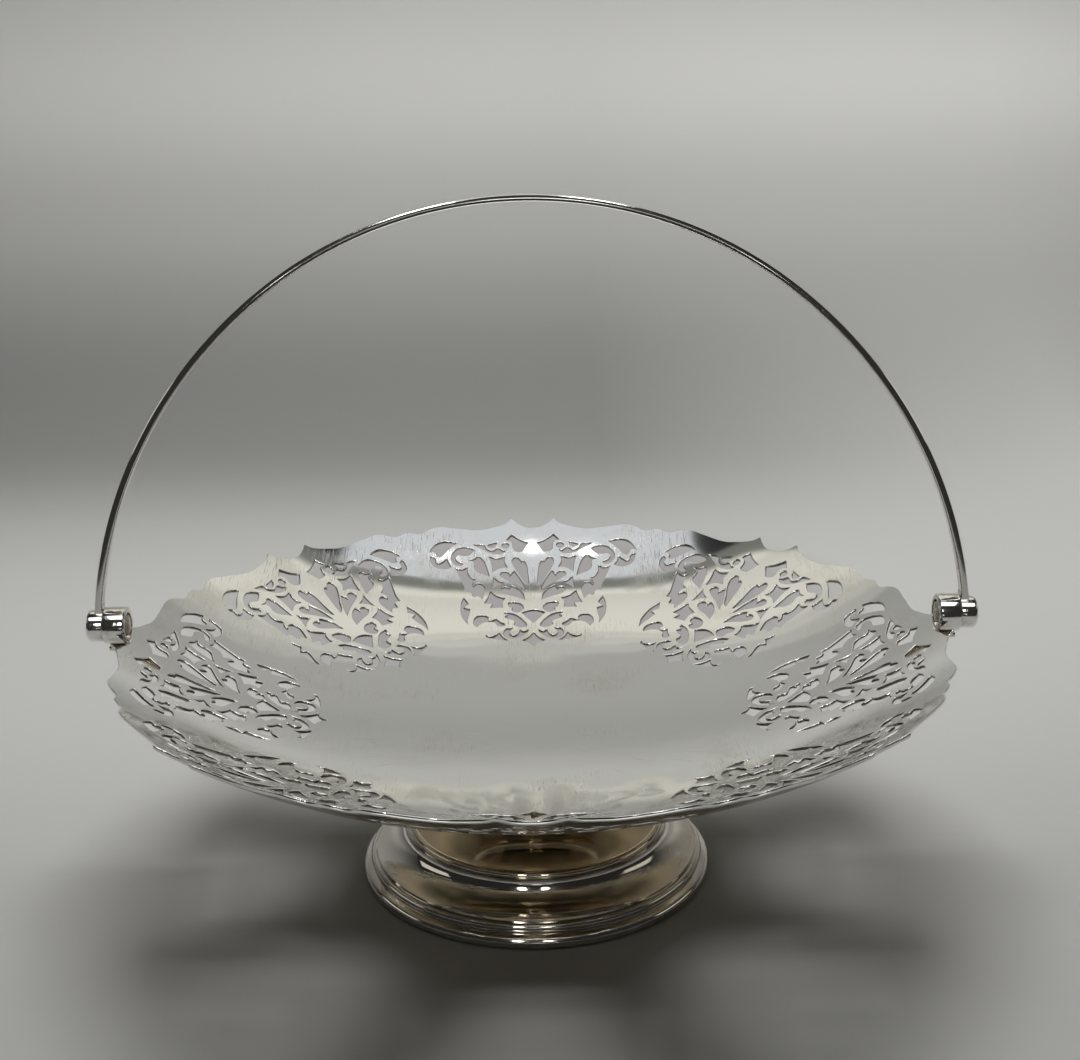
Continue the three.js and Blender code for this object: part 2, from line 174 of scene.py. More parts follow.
# %% The hand ripple group
def build_ripple():
    group, entry, leave = start_group(
        "hand ripple", [("Vector", None), ("Scale", 20.0)], [("Height", "NodeSocketFloat")]
    )
    slow = group.nodes.new("ShaderNodeTexNoise")
    slow.inputs["Detail"].default_value = 1.5
    slow.inputs["Roughness"].default_value = 0.35
    group.links.new(entry.outputs["Vector"], slow.inputs["Vector"])
    group.links.new(entry.outputs["Scale"], slow.inputs["Scale"])
    group.links.new(slow.outputs["Fac"], leave.inputs["Height"])
    return group


ripple = build_ripple()
print("group:", ripple.name)

# %% [markdown]
# ## Tarnish
# Silver goes yellow, then brown, where nobody rubs it. The film is uneven, so a noise with fine
# detail gives a mask, which the materials use to tint the metal and to dull it a little.

# %% The tarnish group
FILM_GAIN = 4.0


def build_tarnish():
    group, entry, leave = start_group(
        "tarnish",
        [("Vector", None), ("Scale", 30.0), ("Share", 0.4)],
        [("Mask", "NodeSocketFloat")],
    )
    cloud = group.nodes.new("ShaderNodeTexNoise")
    cloud.inputs["Detail"].default_value = 6.0
    cloud.inputs["Roughness"].default_value = 0.62
    group.links.new(entry.outputs["Vector"], cloud.inputs["Vector"])
    group.links.new(entry.outputs["Scale"], cloud.inputs["Scale"])
    threshold = math_node(group, "SUBTRACT", 1.0, entry.outputs["Share"])
    film = math_node(group, "SUBTRACT", cloud.outputs["Fac"], threshold)
    film = math_node(group, "MULTIPLY", film, FILM_GAIN, clamp=True)
    group.links.new(film, leave.inputs["Mask"])
    return group


tarnish = build_tarnish()
print("group:", tarnish.name)

# %% [markdown]
# ## Silver plate
# One function mixes the three effects into a finish. The Principled shader stays in the material.
# The dish is bright and finely scratched, and dirt in the scratches draws them as fine dark lines.
# The foot has more film. The sawn walls of the piercing get a dark colour, a painted shade inside
# the openings, with a dark tarnish film over it, while their rubbed corners stay as bright as the
# dish.

# %% The silver finishes
DIRT_COLOUR = (0.3, 0.27, 0.22, 1.0)
DIRT_SHARE = 0.5
FILM_DULLS, SCRATCHES_DULL = 0.12, 0.2
SCRATCH_DENSITY, SCRATCH_DEPTH = 2.0, 0.012
RIPPLE_SCALE = 26.0


def silver_finish(name, colour, film_colour, wear, film_scale=30.0):
    roughness, scratch_share, film_share, ripple_depth = wear
    material = bpy.data.materials.new(name)
    material.use_nodes = True
    tree = material.node_tree
    shader = tree.nodes["Principled BSDF"]
    shader.inputs["Metallic"].default_value = 1.0
    place = tree.nodes.new("ShaderNodeTexCoord").outputs["Object"]

    def effect(group, **settings):
        node = tree.nodes.new("ShaderNodeGroup")
        node.node_tree = group
        tree.links.new(place, node.inputs["Vector"])
        for label, value in settings.items():
            node.inputs[label].default_value = value
        return node.outputs[0]

    film = effect(tarnish, Scale=film_scale, Share=film_share)
    lines = effect(scratches, Density=SCRATCH_DENSITY, Share=scratch_share)
    slow = effect(ripple, Scale=RIPPLE_SCALE)

    tint = tree.nodes.new("ShaderNodeMix")
    tint.data_type = "RGBA"
    tint.inputs["A"].default_value = (*colour, 1.0)
    tint.inputs["B"].default_value = (*film_colour, 1.0)
    tree.links.new(film, tint.inputs["Factor"])
    dirt = tree.nodes.new("ShaderNodeMix")
    dirt.data_type = "RGBA"
    dirt.inputs["B"].default_value = DIRT_COLOUR
    tree.links.new(math_node(tree, "MULTIPLY", lines, DIRT_SHARE), dirt.inputs["Factor"])
    tree.links.new(tint.outputs["Result"], dirt.inputs["A"])
    tree.links.new(dirt.outputs["Result"], shader.inputs["Base Color"])

    dull = math_node(tree, "MULTIPLY", film, FILM_DULLS)
    dull = math_node(tree, "ADD", dull, roughness)
    dull = math_node(tree, "ADD", dull, math_node(tree, "MULTIPLY", lines, SCRATCHES_DULL))
    tree.links.new(dull, shader.inputs["Roughness"])

    wave = tree.nodes.new("ShaderNodeBump")
    wave.inputs["Distance"].default_value = ripple_depth * MM
    tree.links.new(slow, wave.inputs["Height"])
    cut = tree.nodes.new("ShaderNodeBump")
    cut.invert = True
    cut.inputs["Distance"].default_value = SCRATCH_DEPTH * MM
    tree.links.new(lines, cut.inputs["Height"])
    tree.links.new(wave.outputs["Normal"], cut.inputs["Normal"])
    tree.links.new(cut.outputs["Normal"], shader.inputs["Normal"])
    return material


# The wear is four values: roughness, share of scratches, share of film and depth of the ripple
# in millimetres. The film's scale follows where it isn't the usual one.
dish_silver = silver_finish(
    "dish silver", (0.81, 0.81, 0.785), (0.68, 0.655, 0.60), (0.07, 0.55, 0.46, 0.45)
)
# The sawn walls get a dark colour: painted shade inside the openings, with a tarnish film over it.
edge_silver_painted_shade = silver_finish(
    "painted shade pierced edge silver", (0.40, 0.37, 0.32), (0.20, 0.17, 0.12), (0.16, 0.2, 0.55, 0.05), 160.0
)
# The underside is darker and yellower than the dish: its darkness is painted shade under the dish,
# and its yellow is tarnish.
underside_silver_painted_shade = silver_finish(
    "painted shade underside silver", (0.60, 0.52, 0.38), (0.46, 0.38, 0.25), (0.2, 0.4, 0.5, 0.3), 24.0
)
foot_silver = silver_finish(
    "foot silver", (0.60, 0.57, 0.52), (0.46, 0.41, 0.33), (0.07, 0.42, 0.5, 0.12)
)
collar_silver = silver_finish(
    "worn collar silver", (0.60, 0.54, 0.44), (0.40, 0.32, 0.21), (0.07, 0.42, 0.5, 0.12)
)
hinge_silver = silver_finish(
    "hinge silver", (0.88, 0.86, 0.82), (0.5, 0.42, 0.32), (0.10, 0.5, 0.45, 0.05), 220.0
)
pin_silver = silver_finish(
    "pin silver", (0.70, 0.66, 0.58), (0.32, 0.25, 0.17), (0.2, 0.5, 0.6, 0.05), 300.0
)
strap_silver = silver_finish(
    "brassy strap silver", (0.76, 0.69, 0.54), (0.48, 0.39, 0.25), (0.15, 0.4, 0.5, 0.05), 220.0
)
bow_silver = silver_finish(
    "bow silver", (0.88, 0.87, 0.83), (0.6, 0.52, 0.42), (0.08, 0.5, 0.4, 0.1), 60.0
)
print("finishes:", [m.name for m in bpy.data.materials if m.name.endswith("silver")])

# %% [markdown]
# ## Handing a piece over
# Each piece is a mesh object at the origin, with its place in its mesh. It rides on the body it
# belongs to and stands for the faceted nodes that it replaces.
# Smooth shading is split where two faces meet at a real edge.

# %% Helpers that finish a piece
scene = bpy.context.scene


def hand_over(obj, body, slot, *nodes):
    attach(obj, body)
    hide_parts(*nodes)
    obj.data.calc_loop_triangles()
    print(f"{obj.name}: {len(obj.data.loop_triangles)} triangles")


def piece_from(bm, name, material, sharp_degrees=35):
    mesh = bpy.data.meshes.new(name)
    bm.to_mesh(mesh)
    bm.free()
    mesh.materials.append(material)
    mesh.shade_smooth()
    mesh.set_sharp_from_angle(angle=math.radians(sharp_degrees))
    obj = bpy.data.objects.new(name, mesh)
    scene.collection.objects.link(obj)
    return obj


# %% [markdown]
# ## The drawing of the piercing
# The pattern is traditional scrollwork: a palmette between two scrolls, in eight equal panels.
# It is drawn on the flat as half a panel, in millimetres across from the panel's middle line and
# down the wall from the rim. A point with a c is a corner, and the line runs smoothly through
# the others. Corners matter: the sharp tips are what makes saw-pierced work look crisp.

# %% Openings of half a panel
SIDE_OPENINGS = {
    "kite": "c1.9,9.7 5,8.3 c8.8,4.9 c10.9,7.7 9.2,8.6 8.3,10.5 8.2,12.6 7.5,13.8 c4.6,14.3",
    "eyelet": "11.5,9.45 12.95,10.9 11.5,12.35 10.05,10.9",
    "half_moon": "c15,8.7 c19,10 18.7,11 17.3,11.6 16,11",
    "swallow": "c11.2,13.5 12.7,13.5 14.5,12.1 16.5,13.2 18.3,12.9 19.8,11.6 20.4,10.3 21.5,9.7 "
    "c24.5,9.7 22.5,11.2 19.5,13.3 17,14.7 14.5,15.1 12.3,14.8",
    "curtain": "c11.8,16.9 14.9,17.8 c18.4,16.4 17.2,20.3 c16.7,25.2 13.5,23 c10.5,23 12,20",
    "inner_petal": "c1.7,33.8 2.2,27 3.2,20.5 4,19.6 c4.8,20.2 5.5,18.9 6.6,17.7 7.6,17.7 8.5,18.9 "
    "8.6,20.5 7.6,23.5 5,28.5 2.8,33",
    "middle_petal": "c3.2,36.3 4.3,32.5 5.8,29 c7.8,25.3 c9.6,28 10.2,26.3 11.7,25.4 13.4,26.3 "
    "13.4,27.6 11.5,29.5 8,32 5,34.5",
    "outer_petal": "c3.4,42.2 4.3,38.5 6.4,35.4 c8.9,33.7 c9.8,35.6 10.6,34.6 12,34.4 13.1,35.3 "
    "12.8,36.9 11,38.5 7.5,40 4.8,41.4",
    "thorn": "c12.3,31.8 14.8,30.2 c16.4,28 16.4,31 c16.8,34.8 14.8,33",
    "star": "c17.5,36.4 15.8,38.6 13.8,39.9 c11.6,41.1 12.7,43 c12.4,46.5 c17.4,46.2 c16.5,43.8 "
    "c19.8,43.1 18.5,40.3",
    "pear": "23,16.1 21,18 19.8,21 19,24 c18.2,27.5 20.8,26 23,24.6 24.4,22.3 24.3,20.5 25,18.4 "
    "c26.5,17.7 24.2,17.2",
    "scroll_eye": "c24.6,12.2 27,10.9 29.8,10.4 32.4,11.6 34.1,14 34.3,16.5 33.3,18.7 31.2,20.1 "
    "29.6,20 c29.6,19 31.5,18 32.7,16.2 32.3,14.8 31.2,14.3 29,15 27.3,14.9 25.5,13.4",
    "ear_crown": "c32.5,7.9 35,6.8 38,6.3 40.8,7.4 43,9.8 c43.6,11.2 42,11.3 41,12.3 40.4,14 "
    "39,14.3 37.6,13 35.6,10.6",
    "ear_lobe": "c36.2,15.8 35.6,18 c34.2,20.5 37,21.2 40,20.2 42.3,18 c43.4,13.6 41.4,14.9 41,17 "
    "39.6,18 37.9,17.4",
    "boot": "c27.4,21.5 29.2,22.6 c32.4,21.4 31,25 29.5,29 28.3,32.5 c28.1,35 26.6,35 25.3,36 "
    "24.6,38.6 22.8,38.3 c20.9,40.4 20.1,37 20,34.2 21.2,31.9 23,31.2 c24.6,32.6 25.2,31 "
    "c24,28.8 25.8,27.5 27.3,24.8",
    "sickle": "c28.5,39.1 c26.6,42.6 c28.5,44.6 c26,46.1 26.2,49 26.8,52 c26.7,54.6 28.5,51 "
    "29.4,47.5 29.6,44 29.2,41",
    "comma": "3.9,47.5 4.9,45.1 7,43.7 c9.9,43.5 10.2,45 9.1,46.8 8.4,46.5 8.7,48.3 7.8,49.5 "
    "6.1,49.9 4.8,48.9",
    "leaf": "2.7,59 3.8,55.8 6,52.8 8.5,50.6 c11.7,49.5 11.3,50.8 10.3,51.4 11.4,52.6 10.5,53.6 "
    "8.2,54.9 7.4,55.6 c7.8,57.9 6,59.4 3.8,59.8",
    "bird": "11.5,57.5 13.2,55.9 c15.2,53.5 16.3,54.3 18,54.5 c18.1,52.4 19.6,50.8 21.2,50.4 "
    "23.2,51.4 24.1,53.5 23.8,56 c22.7,57.6 21.8,56.2 20.2,55.2 17.2,55 15.2,56 14.2,58 12.6,58.8",
    "cup": "c1.8,61.2 2.8,62.4 4.2,62.7 c5.4,61.7 5.8,63.8 6.7,65.1 7.8,65.3 9.1,64.7 9.7,62.8 "
    "c8.4,60.3 10.2,60.2 11.6,61.7 11.9,63.5 11.4,65.4 9.6,67.2 7.3,67.7 5,66.6 3,64.5",
    "moustache": "c10,68.8 11.8,66.8 12.8,64.8 c13.6,62.7 14.6,64.3 16,65 17.6,64.9 c19.2,63.7 "
    "18.7,65 16.3,66.5 13.5,67.8",
}
MIDDLE_OPENINGS = {
    "fan": "0,48.6 2.8,49.3 c4.6,50.3 2.6,53.2 c0,57 -2.6,53.2 c-4.6,50.3 -2.8,49.3",
    "spade": "c0,63.4 1.6,66.6 c4.5,69.3 1.9,70.6 c0,73.3 -1.9,70.6 c-4.5,69.3 -1.6,66.6",
}
print("openings in half a panel:", len(SIDE_OPENINGS))
print("openings on its middle line:", len(MIDDLE_OPENINGS))

# %% [markdown]
# ## From the wall to the plan
# The dish is a round form, so its plan is the easiest flat sheet to pierce: each drawn point goes
# to the plan radius that lies that far down the wall. The rim is drawn in the same plan, as a
# wave of cusps and shallow scallops: degrees from the panel's middle line, and reach beyond the
# rim circle. It runs on for three points past each side of the panel, so that the wave is smooth
# through the seams.

# %% Turn drawn points into plan points
def radius_down_wall(distance, strides=40):
    radius, stride = RIM_RADIUS, distance / strides
    for _ in range(strides):
        radius -= stride / math.hypot(1, dish_slope(radius - stride / 2))
    return radius


def plan_points(drawing):
    points = []
    for word in drawing.split():
        across, down = (float(x) for x in word.lstrip("c").split(","))
        radius = radius_down_wall(down)
        turn = across / radius
        points.append((radius * math.sin(turn), radius * math.cos(turn), word.startswith("c")))
    return points


RIM_WAVE = (
    "0,-0.9 1.7,-0.3 c3.7,3.2 4.6,1.4 5.9,0.3 7.5,-0.5 9.2,-1.1 "
    "13.8,0.3 16.9,1.5 18.4,0.9 20.1,-0.6 22.5,0.6"
)


def rim_wave():
    for word in RIM_WAVE.split():
        angle, reach = (float(x) for x in word.lstrip("c").split(","))
        yield angle, reach, word.startswith("c")


def rim_points():
    half = list(rim_wave())
    across = 360 / PANELS
    beyond = [(across - a, reach, sharp) for a, reach, sharp in half[-4:-1]][::-1]
    right = half + beyond
    whole = [(-a, reach, sharp) for a, reach, sharp in right[:0:-1]] + right
    points = []
    for angle, reach, sharp in whole:
        turn, radius = math.radians(angle), RIM_RADIUS + reach
        points.append((radius * math.sin(turn), radius * math.cos(turn), sharp))
    return points


print("rim points of one panel:", len(rim_points()))

# %% [markdown]
# ## One pierced panel
# A flat Bezier curve may hold many closed lines: Blender fills between them, gives the sheet its
# thickness and rounds every edge, inside and out. That is quicker and cleaner than cutting with
# Booleans. The curve is then made a mesh, so that it can be bent.

# %% Draw and fill one panel
EDGE_ROUND = 0.3
PAST_MIDDLE = 9
RIM_STEPS, OPENING_STEPS = 4, 3


def add_line(curve, points, steps):
    line = curve.splines.new("BEZIER")
    line.bezier_points.add(len(points) - 1)
    for knot, (x, y, sharp) in zip(line.bezier_points, points):
        knot.co = (x * MM, y * MM, 0)
        knot.handle_left_type = knot.handle_right_type = "VECTOR" if sharp else "AUTO"
    line.use_cyclic_u = True
    line.resolution_u = steps


def flat_panel():
    curve = bpy.data.curves.new("pierced panel", "CURVE")
    curve.dimensions = "2D"
    curve.fill_mode = "BOTH"
    curve.extrude = (SHEET / 2 - EDGE_ROUND) * MM
    curve.bevel_depth = EDGE_ROUND * MM
    curve.bevel_resolution = 0
    curve.offset = -EDGE_ROUND * MM
    sides = rim_points()
    first, last = sides[0], sides[-1]
    corners = [(last[0], last[1], True), (0, -PAST_MIDDLE, True), (first[0], first[1], True)]
    add_line(curve, sides[1:-1] + corners, RIM_STEPS)
    for drawing in (*SIDE_OPENINGS.values(), *MIDDLE_OPENINGS.values()):
        add_line(curve, plan_points(drawing), OPENING_STEPS)
    holder = bpy.data.objects.new("pierced panel", curve)
    scene.collection.objects.link(holder)
    bpy.context.view_layer.update()
    filled = holder.evaluated_get(bpy.context.evaluated_depsgraph_get())
    mesh = bpy.data.meshes.new_from_object(filled)
    bpy.data.objects.remove(holder)
    return mesh


panel_mesh = flat_panel()
print("flat panel:", len(panel_mesh.vertices), "points,", len(panel_mesh.polygons), "faces")

# %% [markdown]
# ## Cut the panel into small cells
# A flat sheet only bends where it has edges. Planes through the middle of the dish and planes
# across it slice the panel into cells of a few millimetres. Half a panel is enough: its mirror
# image makes the panel, and eight turned copies make the dish. The seams match point for point,
# because both sides of a seam come from the same cut. Each face is then marked as the inside, the
# underside, a sawn wall or a rubbed corner, which also counts all of the outer rim.

# %% Slice, mirror and turn the panel
INSIDE, SAWN_WALLS, UNDERSIDE, RUBBED_EDGES = range(4)
OUTERMOST_OPENING = 134.0
WELL_ROWS, WALL_ROWS, FANS = 6, 10, 6
CLOSE = 0.002 * MM
LEVEL_FACE, SLANTED_FACE = 0.999, 0.3


def slice_with(bm, normal, distance, keep_inner=False):
    everything = bm.verts[:] + bm.edges[:] + bm.faces[:]
    bmesh.ops.bisect_plane(
        bm,
        geom=everything,
        dist=1e-7,
        plane_co=normal * distance * MM,
        plane_no=normal,
        clear_outer=keep_inner,
    )


def whole_flat_dish():
    bm = bmesh.new()
    bm.from_mesh(panel_mesh)
    bmesh.ops.remove_doubles(bm, verts=bm.verts[:], dist=CLOSE)
    half = math.pi / PANELS
    slice_with(bm, Vector((-1, 0, 0)), 0, keep_inner=True)
    slice_with(bm, Vector((math.cos(half), -math.sin(half), 0)), 0, keep_inner=True)
    for fan in range(1, FANS):
        turn = half * fan / FANS
        slice_with(bm, Vector((math.cos(turn), -math.sin(turn), 0)), 0)
    wall = RIM_RADIUS - WELL_RADIUS
    in_well = [WELL_RADIUS * row / WELL_ROWS for row in range(1, WELL_ROWS)]
    on_wall = [WELL_RADIUS + wall * row / WALL_ROWS for row in range(WALL_ROWS)]
    for distance in in_well + on_wall:
        slice_with(bm, Vector((0, 1, 0)), distance)
    everything = bm.verts[:] + bm.edges[:] + bm.faces[:]
    bmesh.ops.mirror(bm, geom=everything, matrix=Matrix.Identity(4), merge_dist=CLOSE, axis="X")
    bmesh.ops.spin(
        bm,
        geom=bm.verts[:] + bm.edges[:] + bm.faces[:],
        cent=(0, 0, 0),
        axis=(0, 0, 1),
        angle=2 * half * (PANELS - 1),
        steps=PANELS - 1,
        use_duplicate=True,
    )
    bmesh.ops.remove_doubles(bm, verts=bm.verts[:], dist=CLOSE)
    bmesh.ops.recalc_face_normals(bm, faces=bm.faces[:])
    for face in bm.faces:
        level = abs(face.normal.z)
        on_rim = face.calc_center_median().xy.length > OUTERMOST_OPENING * MM
        if level > LEVEL_FACE:
            face.material_index = INSIDE if face.normal.z > 0 else UNDERSIDE
        elif level > SLANTED_FACE or on_rim:
            face.material_index = RUBBED_EDGES
        else:
            face.material_index = SAWN_WALLS
    open_edges = sum(1 for edge in bm.edges if len(edge.link_faces) != 2)
    print("flat dish:", len(bm.faces), "faces,", open_edges, "open edges")
    mesh = bpy.data.meshes.new("dish_pierced")
    bm.to_mesh(mesh)
    bm.free()
    return mesh


dish_mesh = whole_flat_dish()

# %% [markdown]
# ## Raise the dish
# Each point keeps its plan place on the upper side and rises to the dish's height there. A point
# inside the thickness goes down square to the sheet, but straight down at the rim, where shears
# have trimmed the edge upright; the one changes into the other a little way in. The true
# direction of the sheet is known at every point, so it's written into the mesh as its normal:
# the triangles of a pierced sheet are long and uneven, and mirror-bright metal would show each
# of them.

# %% Bend the flat dish and set its normals
TRIM_START, TRIM_BLEND = 7, 4


def raise_dish(mesh):
    directions = []
    for vertex in mesh.vertices:
        x, y, depth = vertex.co
        radius = math.hypot(x, y)
        slope = dish_slope(radius / MM)
        stretch = math.hypot(1, slope)
        outward = Vector((x, y, 0)) / radius if radius > 1e-9 else Vector((1, 0, 0))
        normal = (Vector((0, 0, 1)) - slope * outward) / stretch
        upper = Vector((x, y, dish_height(radius / MM) * MM))
        down = depth - SHEET / 2 * MM
        near_rim = min(max((radius / MM - RIM_RADIUS + TRIM_START) / TRIM_BLEND, 0), 1)
        vertex.co = upper + (normal * down).lerp(Vector((0, 0, down * stretch)), near_rim)
        directions.append((normal, depth))
    return directions


def write_normals(mesh, directions):
    on_sheet = set()
    edge_normals = {}
    for face in mesh.polygons:
        if face.material_index in (INSIDE, UNDERSIDE):
            on_sheet.update(face.vertices)
            continue
        for index in face.vertices:
            edge_normals[index] = edge_normals.get(index, Vector()) + face.normal * face.area
    normals = []
    for face in mesh.polygons:
        for index in face.vertices:
            sheet_normal, depth = directions[index]
            if face.material_index in (INSIDE, UNDERSIDE):
                normals.append(sheet_normal if face.material_index == INSIDE else -sheet_normal)
            elif index in on_sheet:
                normals.append(sheet_normal if depth > 0 else -sheet_normal)
            else:
                normals.append(edge_normals[index].normalized())
    mesh.shade_smooth()
    mesh.normals_split_custom_set(normals)


sheet_directions = raise_dish(dish_mesh)
dish_mesh.update()
write_normals(dish_mesh, sheet_directions)
for material in (dish_silver, edge_silver_painted_shade, underside_silver_painted_shade, dish_silver):
    dish_mesh.materials.append(material)
dish = bpy.data.objects.new("dish_pierced", dish_mesh)
scene.collection.objects.link(dish)
hand_over(dish, "base", "dish_silver", "dish")

# %% [markdown]
# ## Turned pieces
# The foot is three spun rings, and the hinges are small turned barrels. A lathe does the same in
# both: a profile, drawn as radius and height, is spun about an axis. Blender's spin operator
# does this with many steps, so that the highlights run round without facets.

# %% Helpers for profiles and spinning
def arc(centre_x, centre_y, radius_x, radius_y, start, end, steps):
    angles = [math.radians(start + (end - start) * step / steps) for step in range(steps + 1)]
    return [(centre_x + radius_x * math.cos(a), centre_y + radius_y * math.sin(a)) for a in angles]


def spun(profile, steps, closed=True):
    bm = bmesh.new()
    ring = [bm.verts.new((radius * MM, 0, height * MM)) for radius, height in profile]
    pairs = list(zip(ring, ring[1:])) + ([(ring[-1], ring[0])] if closed else [])
    edges = [bm.edges.new(pair) for pair in pairs]
    bmesh.ops.spin(
        bm,
        geom=ring + edges,
        cent=(0, 0, 0),
        axis=(0, 0, 1),
        angle=2 * math.pi,
        steps=steps,
        use_merge=True,
    )
    bmesh.ops.remove_doubles(bm, verts=bm.verts[:], dist=CLOSE)
    bmesh.ops.recalc_face_normals(bm, faces=bm.faces[:])
    return bm


print("an arc of", len(arc(0, 0, 1, 1, 0, 90, 8)), "points")

# %% [markdown]
# ## The base moulding
# The foot stands on a wire of two beads, a stout one below and a small one set in above. Light
# catches each bead in a thin bright ring, so the beads are true arcs.

# %% Spin the base moulding
BASE_RADIUS, BASE_BEAD = 60.5, 2.3
STEP_BEAD, STEP_INSET, BASE_WIDTH = 1.5, 2.0, 6.0
BASE_TOP = 2 * BASE_BEAD + 2 * STEP_BEAD
BASE_BEAD_END, STEP_BEAD_START = 62, -52
CHAMFER = 0.4
FOOT_STEPS = 192
bead_middle = BASE_RADIUS - BASE_BEAD
step_middle = bead_middle - STEP_INSET
base_profile = [
    (BASE_RADIUS - BASE_WIDTH, CHAMFER),
    (BASE_RADIUS - BASE_WIDTH + CHAMFER, 0),
    *arc(bead_middle, BASE_BEAD, BASE_BEAD, BASE_BEAD, -90, BASE_BEAD_END, 18),
    *arc(step_middle, BASE_TOP - STEP_BEAD, STEP_BEAD, STEP_BEAD, STEP_BEAD_START, 90, 14),
    (BASE_RADIUS - BASE_WIDTH + CHAMFER, BASE_TOP),
    (BASE_RADIUS - BASE_WIDTH, BASE_TOP - CHAMFER),
]
base_wire = piece_from(spun(base_profile, FOOT_STEPS), "base_moulding", foot_silver)
hand_over(base_wire, "base", "foot_silver", "foot_base_wire")

# %% [markdown]
# ## The cove of the foot
# Above the moulding the spun shell sweeps in as a hollow cove and climbs to the shoulder.

# %% Spin the cove
SHOULDER_RADIUS, SHOULDER_HEIGHT, SHOULDER_BEAD = 43.0, 17.1, 1.4
FOOT_SHEET = 1.0
COVE_SEAT, COVE_OVERLAP, FLANGE_INSET = 0.1, 0.3, 0.3
cove_bottom = BASE_TOP - COVE_SEAT
cove_top = SHOULDER_HEIGHT - SHOULDER_BEAD + COVE_OVERLAP
flange_radius = step_middle - FLANGE_INSET
cove_start = flange_radius - FOOT_SHEET
cove_width = cove_start - SHOULDER_RADIUS - FOOT_SHEET
cove_rise = cove_top - cove_bottom - FOOT_SHEET
cove_profile = [
    (flange_radius, cove_bottom),
    (flange_radius, cove_bottom + 0.6 * FOOT_SHEET),
    (flange_radius - 0.4 * FOOT_SHEET, cove_bottom + FOOT_SHEET),
    *arc(cove_start, cove_top, cove_width, cove_rise, -90, -180, 28),
    *arc(cove_start, cove_top, cove_width + FOOT_SHEET, cove_rise + FOOT_SHEET, -180, -90, 20),
]
foot_cove = piece_from(spun(cove_profile, FOOT_STEPS), "foot_cove", foot_silver)
hand_over(foot_cove, "base", "foot_silver", "foot_shell")

# %% [markdown]
# ## The collar
# The collar carries the dish: a bead at the shoulder, a wide cove that climbs from it to a narrow
# waist, and a flange that is soldered under the well.

# %% Spin the collar
WAIST_RADIUS, COVE_RISE, NECK_FLARE = 22.3, 9.5, 3.0
LEDGE_SHARE = 0.6
LEDGE = SHOULDER_HEIGHT + LEDGE_SHARE * SHOULDER_BEAD
bead_end = 180 - math.degrees(math.asin(LEDGE_SHARE))
flare = WAIST_RADIUS + NECK_FLARE
COLLAR_TOP = under_dish(flare, 0.05)[1]
inner = NECK_FLARE + FOOT_SHEET
cove_end = SHOULDER_RADIUS - SHOULDER_BEAD
cove_reach = cove_end - WAIST_RADIUS
cove_middle = LEDGE + COVE_RISE
collar_profile = [
    (SHOULDER_RADIUS - FOOT_SHEET, SHOULDER_HEIGHT - SHOULDER_BEAD),
    *arc(SHOULDER_RADIUS, SHOULDER_HEIGHT, SHOULDER_BEAD, SHOULDER_BEAD, -90, bead_end, 22),
    *arc(cove_end, cove_middle, cove_reach, COVE_RISE, -90, -180, 40),
    *arc(flare, COLLAR_TOP - FOOT_SHEET - NECK_FLARE, NECK_FLARE, NECK_FLARE, 180, 90, 20),
    (flare + FOOT_SHEET, COLLAR_TOP - FOOT_SHEET),
    (flare + FOOT_SHEET, COLLAR_TOP),
    *arc(flare, COLLAR_TOP - inner, inner, inner, 90, 180, 12),
    *arc(cove_end, cove_middle, cove_reach + FOOT_SHEET, COVE_RISE + FOOT_SHEET, -180, -90, 20),
    (SHOULDER_RADIUS - FOOT_SHEET, LEDGE - FOOT_SHEET),
]
foot_collar = piece_from(spun(collar_profile, FOOT_STEPS), "foot_collar_turned", collar_silver)
hand_over(foot_collar, "base", "foot_silver", "foot_collar")

# %% [markdown]
# ## The hinges
# Each hinge is two barrels on one pin. The inner barrel is soldered in a seat in the rim and
# holds still; the outer one is the end of the handle. They are turned along Z, and then laid
# along X on the hinge line. The left hinge is the right one, turned half a turn.

# %% Turn the barrels and pins
HINGE_HEIGHT = 89.7
HINGE_SPLIT = 143.5
GAP = 0.3
LUG_LENGTH, LUG_RADIUS = 7.3, 6.3
KNUCKLE_LENGTH, KNUCKLE_RADIUS = 5.5, 5.35
PIN_RADIUS, PIN_HEAD = 2.0, 3.6
lug_outer = HINGE_SPLIT - GAP / 2
lug_inner = lug_outer - LUG_LENGTH
knuckle_inner = HINGE_SPLIT + GAP / 2
knuckle_outer = knuckle_inner + KNUCKLE_LENGTH
RECESS_RADIUS, RECESS_DEPTH, RECESS_EDGE = PIN_HEAD + 0.7, 1.2, 0.15
BORE = PIN_RADIUS + 0.3
LUG_ROUND, SOFT_EDGE = 0.9, 0.25
CAP_THICK, KNUCKLE_ROUND = 1.2, 1.2
HEAD_THICK, HEAD_ROUND = 0.9, 0.3
PIN_END = knuckle_outer - 1.5
BARREL_STEPS = 96


def turned(bm, angle, axis):
    matrix = Matrix.Rotation(angle, 3, axis)
    bmesh.ops.rotate(bm, verts=bm.verts[:], cent=(0, 0, 0), matrix=matrix)
    return bm


def laid_on_hinge(bm, half_turn):
    turned(bm, math.pi / 2, "Y")
    bmesh.ops.translate(bm, verts=bm.verts[:], vec=(0, 0, HINGE_HEIGHT * MM))
    return turned(bm, math.pi, "Z") if half_turn else bm


def rounded(centre_x, centre_y, radius, start, steps):
    return arc(centre_x, centre_y, radius, radius, start, start + 90, steps)


